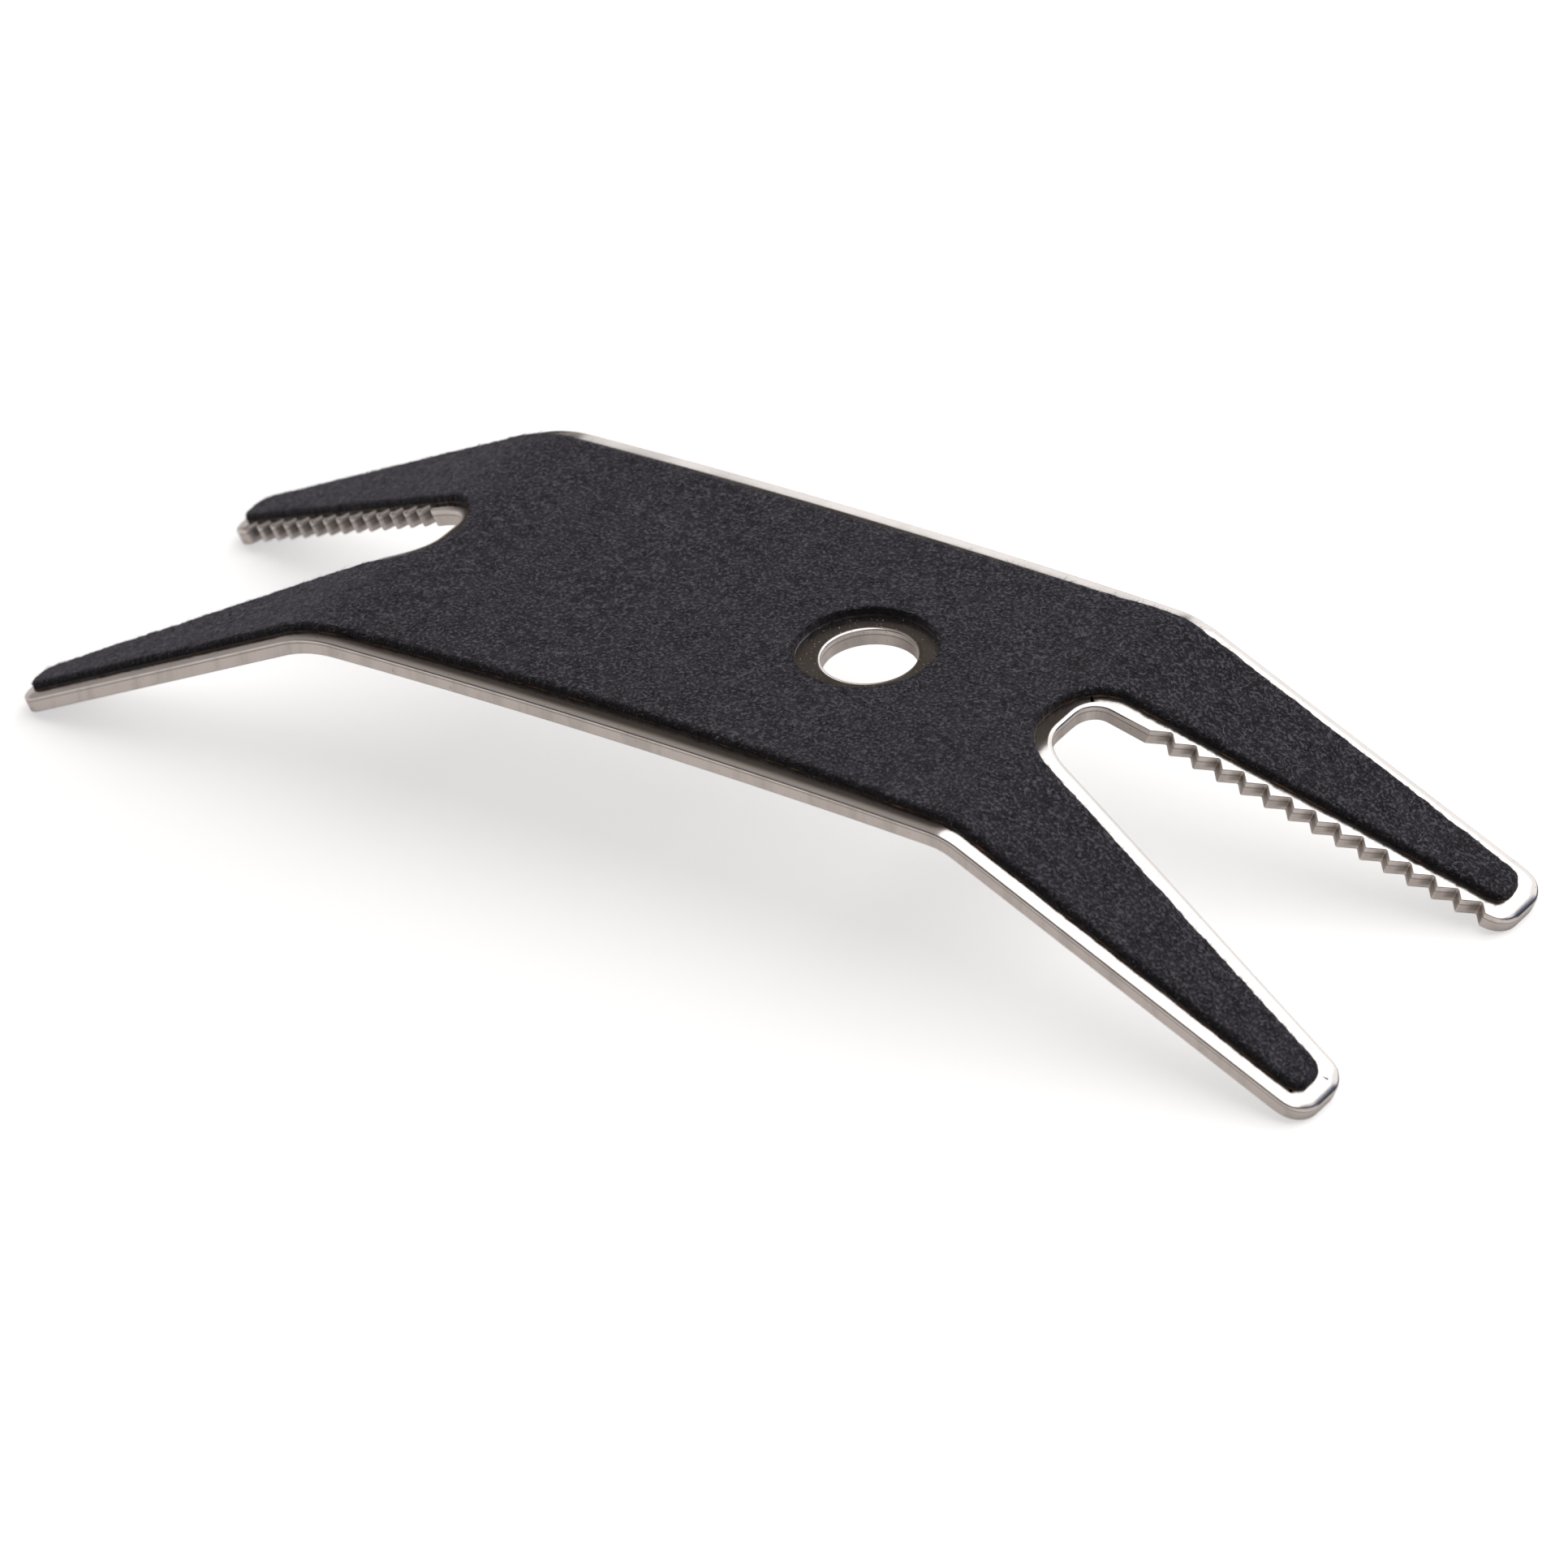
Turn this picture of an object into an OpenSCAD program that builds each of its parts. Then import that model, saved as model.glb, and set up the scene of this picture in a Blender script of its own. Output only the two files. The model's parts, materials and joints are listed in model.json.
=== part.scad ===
// Two-ended open-jaw spanner for the thin nuts of controls and sockets: one bent steel plate
// with a V-shaped jaw at each end, lined with a soft suede pad so it can slide on a finish.
//
// Frame: +X runs along the plate towards the end nearer the hole, +Y towards the toothed
// jaw sides, +Z up through the pad. The origin is the centre of the hole, on the top face
// of the steel. All sizes are in millimetres.

/* [Plate] */
// Width across the straight outer edges
plate_width = 34.5; // [34:0.5:38]
// Thickness of the steel sheet
sheet = 1.5; // [1:0.1:2]
// Distance between the two bend lines
web_length = 60; // [52:1:70]
// Radius of the slight upward crown along the web
crown_radius = 770; // [500:10:1500]
// Slope of each forked end
bend_angle = 26.5; // [15:0.5:35]
// Radius of the front bend, on the underside
front_bend_radius = 5; // [4:1:15]
// Radius of the rear bend, on the underside
rear_bend_radius = 12; // [8:1:15]
// Length of each fork from its bend line to the arm tips
fork_length = 34.6; // [34:0.2:38]
// Radius of the corners at the arm tips
tip_radius = 2.3; // [1.9:0.1:2.5]

/* [Hole] */
// Diameter of the round hole
hole_diameter = 7.5; // [5:0.5:8]
// Distance from the middle of the web to the hole
hole_offset = 11.5; // [0:0.5:12]

/* [Jaws] */
// Full angle between the two sides of a jaw
jaw_angle = 25.5; // [20:0.5:26]
// Width of a jaw at its bend line
jaw_width = 6.8; // [6.2:0.2:7.2]
// Distance each jaw sits off the centre line, towards its smooth side
jaw_side = 0.05; // [0:0.05:0.3]
// How far the front jaw is cut past its bend line into the web
front_root = 0.5; // [0:0.1:1.5]
// How far the rear jaw is cut past its bend line into the web
rear_root = 1; // [0:0.1:1.5]
// Radius of the inner corner of a jaw on its smooth side
smooth_root_radius = 3.3; // [2:0.1:3.5]
// Radius of the inner corner of a jaw on its toothed side
toothed_root_radius = 2.4; // [2:0.1:2.8]
// Most V notches a toothed side may have; only as many as fit are cut
tooth_count = 14; // [8:1:14]
// Pitch of the notches, along the fork
tooth_pitch = 2; // [1.5:0.1:2]
// Distance from the front bend line to its first notch
front_tooth_start = 4.6; // [4:0.1:5]
// Distance from the rear bend line to its first notch
rear_tooth_start = 4.2; // [4:0.1:5]

/* [Pad] */
// Thickness of the adhesive film under the pad
film = 0.1; // [0.05:0.05:0.2]
// Thickness of the suede
suede = 0.6; // [0.3:0.1:1]
// Bare steel border along the outer edges and the arm tips
pad_border = 1.35; // [0.8:0.05:1.6]
// Bare steel border along the sides of a jaw
pad_jaw_border = 1.6; // [1.3:0.1:1.8]
// Bare steel border at the root of the front jaw
pad_front_root = 1.45; // [0.6:0.05:1.9]
// Bare steel border at the root of the rear jaw
pad_rear_root = 1.85; // [0.6:0.05:1.9]
// How much wider the bare border is at the middle of the web
pad_waist = 0.6; // [0:0.1:1]
// Radius of the round opening over the hole
pad_hole_radius = 5.55; // [5:0.05:6.5]
// How far the pad is laid towards the rear
pad_shift = 0.25; // [0:0.05:0.4]
// How far the pad is laid towards the smooth jaw side, at the front
pad_front_side = 0.08; // [0:0.02:0.2]
// How far the pad is laid towards the smooth jaw side, at the rear
pad_rear_side = 0.5; // [0:0.05:0.6]

/* [Hidden] */
$fn = 96;
crown_steps = 12;   // straight steps in half of the crown
bend_steps = 12;    // straight steps in each bend
corner_steps = 8;   // straight steps in each rounded corner
waist_steps = 12;   // straight steps along the pad's edge over the web
cut = 6;            // reach of a cutting shape past the material
half_jaw = jaw_angle / 2;
crown_center = [0, -sqrt(pow(crown_radius, 2) - pow(hole_offset, 2))];
fork_way = [cos(bend_angle), -sin(bend_angle)];
fork_up = [sin(bend_angle), cos(bend_angle)];
root_fit = 0.94;    // the widest root radius used, as a share of the one that just fits
pad_tip_radius = tip_radius - 0.85;

// radius of the bend at the front (end 1) or the rear (end -1), on the underside
function bend_radius(end) = end > 0 ? front_bend_radius : rear_bend_radius;

// distance from a bend line to where the flat fork starts, for a bend of radius r
function setback(r) = (r + sheet) * tan((bend_angle - asin(web_length / 2 / crown_radius)) / 2);

// the angle the crown spans, from the middle of the web to a bend of radius r
function crown_half(r) = asin((web_length / 2 - setback(r)) / crown_radius);

// centre of a bend, in the side view, measured from the middle of the web
function bend_center(r) =
    crown_center + (crown_radius - r - sheet) * [sin(crown_half(r)), cos(crown_half(r))];

// the bend line, where the top faces of web and fork would meet
function bend_line(r) = bend_center(r) + (r + sheet) * fork_up - setback(r) * fork_way;

// points along an arc about c, from angle a0 to a1
function arc(c, r, a0, a1) =
    [for (i = [0:corner_steps])
        let (a = a0 + (a1 - a0) * i / corner_steps)
        c + r * [cos(a), sin(a)]];

function backwards(points) = [for (i = [len(points) - 1:-1:0]) points[i]];

// half of the bent surface at height z above the steel's top face, seen from the side:
// along the crown from the middle of the web, round the bend, then straight to the tips
function half_run(z, reach, r) =
    concat(
        [for (i = [0:crown_steps - 1])
            let (a = crown_half(r) * i / crown_steps)
            crown_center + (crown_radius + z) * [sin(a), cos(a)]],
        [for (i = [0:bend_steps])
            let (a = crown_half(r) + (bend_angle - crown_half(r)) * i / bend_steps)
            bend_center(r) + (r + sheet + z) * [sin(a), cos(a)]],
        [bend_line(r) + z * fork_up + reach * fork_way]);

// the whole bent surface, from the rear end to the front end
function full_run(z, reach) =
    concat(
        [for (p = backwards(half_run(z, reach, bend_radius(-1)))) if (p[0] > 0) [-p[0], p[1]]],
        half_run(z, reach, bend_radius(1)));

// where a jaw side is, across the plate, at a distance s past the bend line
function jaw_y(half, s) = half + s * tan(half_jaw);

// the root radius at which a jaw side's corner would reach the centre line
function widest_root(half, root) =
    (half - root * tan(half_jaw)) / (1 / cos(half_jaw) - tan(half_jaw));

// one toothed edge: V notches with both flanks at 45 degrees to the fork
function teeth(half, start, last_s) =
    let (notches = min(tooth_count, floor((last_s - start) / tooth_pitch)))
    let (rise = tooth_pitch * (1 + tan(half_jaw)) / 2)
    [for (i = [0:notches], k = i < notches ? [0, 1] : [0])
        let (s = start + i * tooth_pitch)
        [s + k * rise, jaw_y(half, s) + k * rise]];

// half of the space round a fork's arms: from the middle of the jaw's root, out along one
// side of the jaw, round the arm's tip and off past its outer edge; first is the distance to
// the first notch, or 0 for a smooth side
function half_space(half, half_width, root, root_r, reach, tip_r, first) =
    let (root_c = [root_r - root, jaw_y(half, root_r - root) - root_r / cos(half_jaw)])
    let (inner_c = [reach - tip_r, jaw_y(half, reach - tip_r) + tip_r / cos(half_jaw)])
    let (corner = arc([reach - tip_r, half_width - tip_r], tip_r, 0, 90))
    let (past_edge = 2 * corner[corner_steps] - corner[corner_steps - 1])
    concat(
        arc(root_c, root_r, 180, 90 + half_jaw),
        first > 0 ? teeth(half, first, inner_c[0] + tip_r * sin(half_jaw)) : [],
        arc(inner_c, tip_r, half_jaw - 90, 0),
        [for (i = [0:corner_steps - 1]) corner[i]],
        [past_edge, [past_edge[0], half_width + cut], [reach + cut, half_width + cut]]);

// all of the space round a fork's arms: smooth on -Y, and notched on +Y unless first is 0; the
// two root radii are the smooth side's and the toothed side's
module fork_space(half, half_width, root, root_radii, reach, tip_r, side, first) {
    fit = root_fit * widest_root(half, root);
    smooth_half = half + jaw_side + side;
    notched_half = half - jaw_side - side;
    smooth = half_space(smooth_half, half_width + side, root, min(root_radii[0], fit), reach,
                        tip_r, 0);
    notched = half_space(notched_half, half_width - side, root, min(root_radii[1], fit), reach,
                         tip_r, first);
    polygon(concat([for (p = backwards(smooth)) [p[0], -p[1]]], notched));
}

// carries what is drawn in a flat fork's plane to the front (end 1) or the rear (end -1)
module at_fork(end)
    translate([-hole_offset, 0, 0])
        mirror([end < 0 ? 1 : 0, 0, 0])
            translate([bend_line(bend_radius(end))[0], 0, bend_line(bend_radius(end))[1]])
                rotate([0, bend_angle, 0])
                    children();

// a bent strip of uniform thickness, lying at height z above the steel's top face
module strip(z, thick, reach)
    translate([-hole_offset, 0, 0])
        rotate([90, 0, 0])
            linear_extrude(plate_width, center = true)
                polygon(concat(full_run(z + thick, reach), backwards(full_run(z, reach))));

// the space round the arms of both forks; shift moves the outline to the rear, and sides, for
// the front and the rear, move it to -Y; root_borders are for the front and the rear too
module both_forks(border, jaw_border, root_borders, root_radii, tip_r, shift, sides, toothed) {
    half_width = plate_width / 2 - border;
    half = jaw_width / 2 + jaw_border / cos(half_jaw);
    for (end = [1, -1]) {
        front = end > 0;
        root = (front ? front_root + root_borders[0] : rear_root + root_borders[1]) + end * shift;
        reach = fork_length - border - end * shift;
        side = front ? sides[0] : sides[1];
        first = toothed ? (front ? front_tooth_start : rear_tooth_start) : 0;
        at_fork(end)
            translate([0, 0, -cut])
                linear_extrude(2 * cut)
                    fork_space(half, half_width, root, root_radii, reach, tip_r, side, first);
    }
}

// the bent steel plate, with toothed jaws and a round hole
module steel_plate()
    color([0.72, 0.71, 0.69])
        difference() {
            strip(-sheet, sheet, fork_length + cut / 2);
            both_forks(0, 0, [0, 0], [smooth_root_radius, toothed_root_radius], tip_radius, 0,
                       [0, 0], true);
            cylinder(h = 2 * cut, d = hole_diameter, center = true);
        }

// the lining's long edge on the +Y side (way 1) or the -Y side (way -1), seen from above
function lining_edge(way) =
    let (edge = way * (plate_width / 2 - pad_border))
    let (rear = edge - pad_rear_side, front = edge - pad_front_side)
    concat(
        [[-web_length / 2 - fork_length, rear]],
        [for (i = [0:waist_steps])
            let (t = i / waist_steps)
            [(t - 0.5) * web_length,
             rear + t * (front - rear) - way * pad_waist * 4 * t * (1 - t)]],
        [[web_length / 2 + fork_length, front]]);

// what lies outside that edge
module past_lining_edge(way) {
    far = web_length / 2 + fork_length;
    translate([-hole_offset, 0, 0])
        linear_extrude(2 * fork_length, center = true)
            polygon(concat(lining_edge(way), [[far, way * plate_width], [-far, way * plate_width]]));
}

// a layer of the lining: the plate's outline drawn in, with a wider round opening
module lining(z, thick)
    difference() {
        strip(z, thick, fork_length);
        both_forks(pad_border, pad_jaw_border, [pad_front_root, pad_rear_root],
                   [plate_width, plate_width], pad_tip_radius, pad_shift,
                   [pad_front_side, pad_rear_side], false);
        past_lining_edge(1);
        past_lining_edge(-1);
        translate([-pad_shift, 0, 0])
            cylinder(h = 2 * cut, r = pad_hole_radius, center = true);
    }

// the adhesive film that holds the suede to the steel
module adhesive_film()
    color([0.35, 0.28, 0.2])
        lining(0, film);

// the suede pad, in one piece over both bends
module suede_pad()
    color([0.2, 0.2, 0.22])
        lining(film, suede);

steel_plate();
adhesive_film();
suede_pad();
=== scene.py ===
"""The looks of a two-ended, V-jawed nut spanner: a bent stainless plate with tumbled rims and
notched jaws, and the suede pad stuck to its top face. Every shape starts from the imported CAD
nodes: their outlines are read off, unrolled flat, detailed, and bent back."""

import json
import math

import bpy
import numpy as np
from mathutils import Matrix, Vector
from mathutils.geometry import delaunay_2d_cdt


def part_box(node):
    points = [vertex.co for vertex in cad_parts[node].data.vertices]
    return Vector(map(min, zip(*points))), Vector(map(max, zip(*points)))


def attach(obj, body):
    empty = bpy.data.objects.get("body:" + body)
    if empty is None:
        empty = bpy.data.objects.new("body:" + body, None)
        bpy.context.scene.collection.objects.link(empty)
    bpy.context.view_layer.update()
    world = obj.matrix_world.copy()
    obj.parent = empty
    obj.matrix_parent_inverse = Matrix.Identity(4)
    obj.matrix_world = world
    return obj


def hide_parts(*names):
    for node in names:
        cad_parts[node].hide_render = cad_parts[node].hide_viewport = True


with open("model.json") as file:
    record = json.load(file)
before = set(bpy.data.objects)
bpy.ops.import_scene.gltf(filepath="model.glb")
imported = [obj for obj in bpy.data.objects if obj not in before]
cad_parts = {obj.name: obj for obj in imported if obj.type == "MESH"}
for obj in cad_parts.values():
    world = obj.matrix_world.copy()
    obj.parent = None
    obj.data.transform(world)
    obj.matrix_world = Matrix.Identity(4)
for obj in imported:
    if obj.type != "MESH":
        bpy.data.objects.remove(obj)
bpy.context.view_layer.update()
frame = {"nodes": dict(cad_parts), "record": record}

MM = 0.001  # the working unit below is the millimetre; meshes are stored in metres
rng = np.random.default_rng(20)


# ---------------------------------------------------------------- the flat pattern

def welded(node):
    """A CAD node's distinct corners in mm, and its triangles."""
    me = frame["nodes"][node].data
    me.calc_loop_triangles()
    co = np.array([v.co for v in me.vertices]) / MM
    tri = np.array([t.vertices for t in me.loop_triangles])
    corners, index = np.unique(np.round(co, 4), axis=0, return_inverse=True)
    return corners, index.reshape(-1)[tri]


LOOKS_UP = 0.8  # least upward part of the unit normal of a face that counts as the top


def top_outlines(node):
    """The closed outlines of the faces that look up, the longest first, material on the left."""
    co, tri = welded(node)
    a, b, c = (co[tri[:, k]] for k in range(3))
    n = np.cross(b - a, c - a)
    up = tri[n[:, 2] > LOOKS_UP * np.linalg.norm(n, axis=1)]
    edges = [(int(t[k]), int(t[(k + 1) % 3])) for t in up for k in range(3)]
    known = set(edges)
    after = {p: q for p, q in edges if (q, p) not in known}
    loops = []
    while after:
        start = min(after)
        loop, k = [start], after.pop(start)
        while k != start:
            loop.append(k)
            k = after.pop(k)
        loops.append(co[loop])
    return sorted(loops, key=lambda p: -np.linalg.norm(p - np.roll(p, 1, 0), axis=1).sum())


class Bent:
    """The plate's bent top face. A flat point is (s along, y across, h above), all in mm,
    with s = 0 at the hole."""

    FAR = 60.0  # the flat forks are carried on this far, so points near the tips resolve
    NEAR = 0.3  # past a bend the fork's own direction is reached within this length

    def __init__(self, outline):
        edge = outline[np.abs(outline[:, 1] - outline[:, 1].max()) < 0.001][:, [0, 2]]
        edge = edge[np.argsort(edge[:, 0])]
        first = (edge[1] - edge[0]) / np.linalg.norm(edge[1] - edge[0])
        last = (edge[-1] - edge[-2]) / np.linalg.norm(edge[-1] - edge[-2])
        self.rear_line, self.front_line = edge[1].copy(), edge[-2].copy()
        p = np.vstack([
            edge[1] - first * self.FAR, edge[1] - first * self.NEAR, edge[1:-1],
            edge[-2] + last * self.NEAR, edge[-2] + last * self.FAR,
        ])
        d = np.diff(p, axis=0)
        length = np.linalg.norm(d, axis=1)
        up = np.column_stack([-d[:, 1], d[:, 0]]) / length[:, None]
        self.p = p
        self.up = np.vstack([up[:1], (up[1:] + up[:-1]) / 2, up[-1:]])
        self.up /= np.linalg.norm(self.up, axis=1)[:, None]
        s = np.concatenate([[0], np.cumsum(length)])
        self.s = s - np.interp(0, p[:, 0], s)
        self.bends = (self.s_of(self.rear_line[0], 0), self.s_of(self.front_line[0], 0))

    def s_of(self, x, h):
        return np.interp(x, self.p[:, 0] + h * self.up[:, 0], self.s)

    def normal(self, s):
        n = np.column_stack([np.interp(s, self.s, self.up[:, k]) for k in (0, 1)])
        return n / np.linalg.norm(n, axis=1)[:, None]

    def place(self, s, y, h):
        """Flat points carried onto the bent surface, in mm."""
        n = self.normal(s)
        x = np.interp(s, self.s, self.p[:, 0]) + h * n[:, 0]
        z = np.interp(s, self.s, self.p[:, 1]) + h * n[:, 1]
        return np.column_stack([x, y, z])

    def turn(self, s, v):
        """Directions given as (along, across, up) in the flat pattern, carried onto the surface."""
        n = self.normal(s)
        return np.column_stack([
            v[:, 0] * n[:, 1] + v[:, 2] * n[:, 0], v[:, 1],
            -v[:, 0] * n[:, 0] + v[:, 2] * n[:, 1],
        ])


def flat(loop, bent, h):
    """A node's outline, whose height over the steel's top is h, as flat points."""
    return np.column_stack([bent.s_of(loop[:, 0], h), loop[:, 1]])


SLIGHT_TURN = 0.03  # in radians: corners below this are left alone,
SHARP_TURN = 0.5    # and those above it are real corners, not steps along a curve
CURVE_SHARE = 0.46  # how much of the shorter neighbouring step a slight corner is spread over
CORNER_SHARE = 0.42  # the most of that step a sharp corner's arc may use


def turns(loop):
    """How far the outline turns at each corner, in radians, positive to the left."""
    a, b = loop - np.roll(loop, 1, 0), np.roll(loop, -1, 0) - loop
    return np.arctan2(a[:, 0] * b[:, 1] - a[:, 1] * b[:, 0], (a * b).sum(1))


def soften(loop, radius):
    """Replaces each sharp corner with a small arc, radius(point, turn) giving its radius, and
    evens out the slight corners of a faceted curve."""
    out = []
    bend = turns(loop)
    for i, p in enumerate(loop):
        if abs(bend[i]) < SLIGHT_TURN:
            out.append(p)
            continue
        before, after = loop[i - 1] - p, loop[(i + 1) % len(loop)] - p
        room = min(np.linalg.norm(before), np.linalg.norm(after))
        before, after = before / np.linalg.norm(before), after / np.linalg.norm(after)
        if abs(bend[i]) < SHARP_TURN:
            cut, steps = CURVE_SHARE * room, 2
        else:
            tangent = radius(p, bend[i]) * math.tan(abs(bend[i]) / 2)
            cut, steps = min(tangent, CORNER_SHARE * room), 4
        for k in range(steps + 1):
            t = k / steps
            out.append(p + cut * ((1 - t) ** 2 * before + t ** 2 * after))
    return np.array(out)


def refine(loop, longest):
    """The outline with extra points, so that no step is longer than that."""
    out = []
    for p, q in zip(loop, np.roll(loop, -1, 0)):
        n = max(1, math.ceil(np.linalg.norm(q - p) / longest))
        out += [p + (q - p) * k / n for k in range(n)]
    return np.array(out)


def thinned(loop, least):
    """The outline without the points that crowd the one before."""
    out = [loop[0]]
    for p in loop[1:]:
        if np.linalg.norm(p - out[-1]) > least:
            out.append(p)
    if np.linalg.norm(out[0] - out[-1]) <= least:
        out.pop()
    return np.array(out)


def outward(loop):
    """Unit direction away from the material at each corner, and the mitre's stretch there."""
    d = np.roll(loop, -1, 0) - loop
    n = np.column_stack([d[:, 1], -d[:, 0]]) / np.linalg.norm(d, axis=1)[:, None]
    m = n + np.roll(n, 1, 0)
    m /= np.linalg.norm(m, axis=1)[:, None]
    return m, 1 / np.maximum((m * n).sum(1), 0.5)


def within(points, loops):
    """Which points lie inside the outer outline and outside the others."""
    hit = np.zeros(len(points), bool)
    for loop in loops:
        for (x1, y1), (x2, y2) in zip(loop, np.roll(loop, -1, 0)):
            cross = (y1 > points[:, 1]) != (y2 > points[:, 1])
            if y1 != y2:
                hit ^= cross & (points[:, 0] < (x2 - x1) * (points[:, 1] - y1) / (y2 - y1) + x1)
    return hit


def edge_distance(points, loops, block=4000):
    """Distance from each point to the nearest outline."""
    a = np.vstack(loops)
    b = np.vstack([np.roll(loop, -1, 0) for loop in loops])
    ab = b - a
    size = (ab ** 2).sum(1)
    out = np.empty(len(points))
    for k in range(0, len(points), block):
        ap = points[k:k + block, None] - a[None]
        t = np.clip((ap * ab).sum(2) / size, 0, 1)
        out[k:k + block] = np.sqrt(((ap - t[..., None] * ab) ** 2).sum(2).min(1))
    return out


def filled(loops, inner):
    """Triangles over the outlines' inside, through the extra inner points."""
    points = np.vstack(loops + [inner])
    edges, k = [], 0
    for loop in loops:
        n = len(loop)
        edges += [(k + i, k + (i + 1) % n) for i in range(n)]
        k += n
    found = delaunay_2d_cdt([Vector(p) for p in points], edges, [], 1, 1e-7)
    back = [o[0] if o else -1 for o in found[3]]
    tri = np.array([[back[i] for i in f] for f in found[2] if len(f) == 3])
    tri = tri[(tri >= 0).all(1)]
    return tri[within(points[tri].mean(1), loops)]


def smooth(x, lo, hi):
    """Rises from 0 to 1 between lo and hi, level at both."""
    t = np.clip((x - lo) / (hi - lo), 0, 1)
    return t * t * (3 - 2 * t)


def value_noise(x, y, seed):
    """Smooth noise in -1..1 on a lattice of unit cells."""
    r = np.random.default_rng(seed)
    table = r.uniform(-1, 1, (256, 256))
    i, j = np.floor(x).astype(int), np.floor(y).astype(int)
    u, v = x - i, y - j
    u, v = u * u * (3 - 2 * u), v * v * (3 - 2 * v)
    g = lambda a, b: table[(i + a) % 256, (j + b) % 256]
    return (g(0, 0) * (1 - u) + g(1, 0) * u) * (1 - v) + (g(0, 1) * (1 - u) + g(1, 1) * u) * v


def make(name, points, faces, normals=None, values=None):
    """A mesh object from points in mm, smooth shaded."""
    me = bpy.data.meshes.new(name)
    me.from_pydata((np.asarray(points) * MM).tolist(), [], [tuple(map(int, f)) for f in faces])
    me.shade_smooth()
    for key, v in (values or {}).items():
        a = me.attributes.new(key, "FLOAT", "POINT")
        a.data.foreach_set("value", np.asarray(v, np.float32))
    if normals is not None:
        me.normals_split_custom_set_from_vertices(np.asarray(normals).tolist())
    ob = bpy.data.objects.new(name, me)
    bpy.context.scene.collection.objects.link(ob)
    return ob


def ring_faces(first, second, n):
    """Quads between two rings of n corners, the first ring higher; the outline runs with the
    material on its left."""
    k = np.arange(n)
    j = (k + 1) % n
    return np.column_stack([second + k, second + j, first + j, first + k])


# ---------------------------------------------------------------- the steel plate

steel_loops = top_outlines("steel_plate")
bent = Bent(steel_loops[0])
hole = next(m for m in frame["record"]["mounts"] if m["name"] == "hole")
hole_r = hole["dims"]["r_mm"]
sheet = hole["dims"]["length_mm"]

# The top face rolls down gently towards its blanked edge, then turns sharply into the wall.
# All lengths are in mm.
ROLL_STEPS = 7
CORNER_STEPS = 4
UNDER = 0.1         # radius of the rim underneath
CREST_FRONT, CREST_REAR = 0.16, 0.5  # radii of the teeth's crests at the two ends
VALLEY = 0.13       # radius at the bottom of each notch
HOLE_STEPS = 96
EDGE_STEP = 0.6     # longest step along the outline
TOOTH_NEAR, TOOTH_FAR = 0.7, 2.6  # the roll fades in between these distances from a tooth
SIDE_NEAR, SIDE_FAR = 0.05, 1.2   # a long side's own roll fades out between these, from the side
END_NEAR, END_FAR = 0.1, 1.4      # the same at the tips
BEND_BLEND = 0.6    # the web's own roll changes over this much on each side of a bend
# Each is the roll's width, its drop and, where there is a third, the radius of the turn into
# the wall: first between the teeth, then what the other places add to it.
AT_TEETH = (0.012, 0.006, 0.07)
PLAIN_EDGE = (0.24, 0.04, 0.12)
REAR_TEETH = (0.19, 0.065, 0.1)
LONG_EDGE = (0.6, 0.15)    # whole on the near side, FAR_SHARE of it on the far side
FAR_SHARE = 0.35
TIP_SHARE = 0.45           # how much of LONG_EDGE the tips have
TIP_TURN = 0.22            # what the tips add to the radius of the turn
WEB_FAR = (0.7, 0.08)
WEB_FAR_POWER = 0.7        # how much less than 2 the roll's power is along the web's far edge
BORE_ROLL = (0.2, 0.045, 0.14, 2.0)  # width, drop, radius and power at the hole
# Painted shade in the notches fades out between these distances from the bottom of a notch.
NOTCH_SHADE_NEAR, NOTCH_SHADE_FRONT, NOTCH_SHADE_REAR = 0.35, 1.3, 1.0
FRONT_NOTCH_SHADE = 0.7          # how much of the rear notches' painted shade the front ones have
# Spacing of the points inside the two faces, along and across, how far in the first one is and
# their least distance from the rim.
FACE_STEP, FACE_RISE, FACE_START, FACE_CLEAR = 1.0, 1.3, 0.7, 0.35


def circle(x, y, r, n):
    """A hole's outline, with the material on its left."""
    a = -np.linspace(0, 2 * math.pi, n, endpoint=False)
    return np.column_stack([x + r * np.cos(a), y + r * np.sin(a)])


def tooth_radius(p, turn):
    """Radius of a notched side's corner: a valley turns right, a crest left."""
    if turn < 0:
        return VALLEY
    return CREST_FRONT if p[0] > 0 else CREST_REAR


outer = flat(steel_loops[0], bent, 0)
sharp = turns(outer)
corners = outer[np.abs(sharp) > SHARP_TURN]
valleys = outer[sharp < -SHARP_TURN]
outer = refine(soften(outer, tooth_radius), EDGE_STEP)
bore = circle(hole["pos_m"][0] / MM, hole["pos_m"][1] / MM, hole_r, HOLE_STEPS)
half_width = outer[:, 1].max()


def nearest(points, marks):
    """Distance from each point to the nearest mark."""
    return np.sqrt(((points[:, None] - marks[None]) ** 2).sum(2).min(1))


rear = (outer[:, 0] < 0).astype(float)
plain = smooth(nearest(outer, corners), TOOTH_NEAR, TOOTH_FAR)
rear_teeth = (1 - plain) * rear
straight = smooth(np.abs(outer[:, 1]), half_width - SIDE_FAR, half_width - SIDE_NEAR)
near_side = outer[:, 1] < 0
to_bend = np.minimum(outer[:, 0] - bent.bends[0], bent.bends[1] - outer[:, 0])
web_far = smooth(to_bend, -BEND_BLEND, BEND_BLEND) * straight * (outer[:, 1] > 0)
front_end, rear_end = outer[:, 0].max(), -outer[:, 0].min()
ends = np.maximum(smooth(outer[:, 0], front_end - END_FAR, front_end - END_NEAR),
                  smooth(-outer[:, 0], rear_end - END_FAR, rear_end - END_NEAR))
strong = np.maximum(straight * np.where(near_side, 1, FAR_SHARE), TIP_SHARE * ends)
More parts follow.
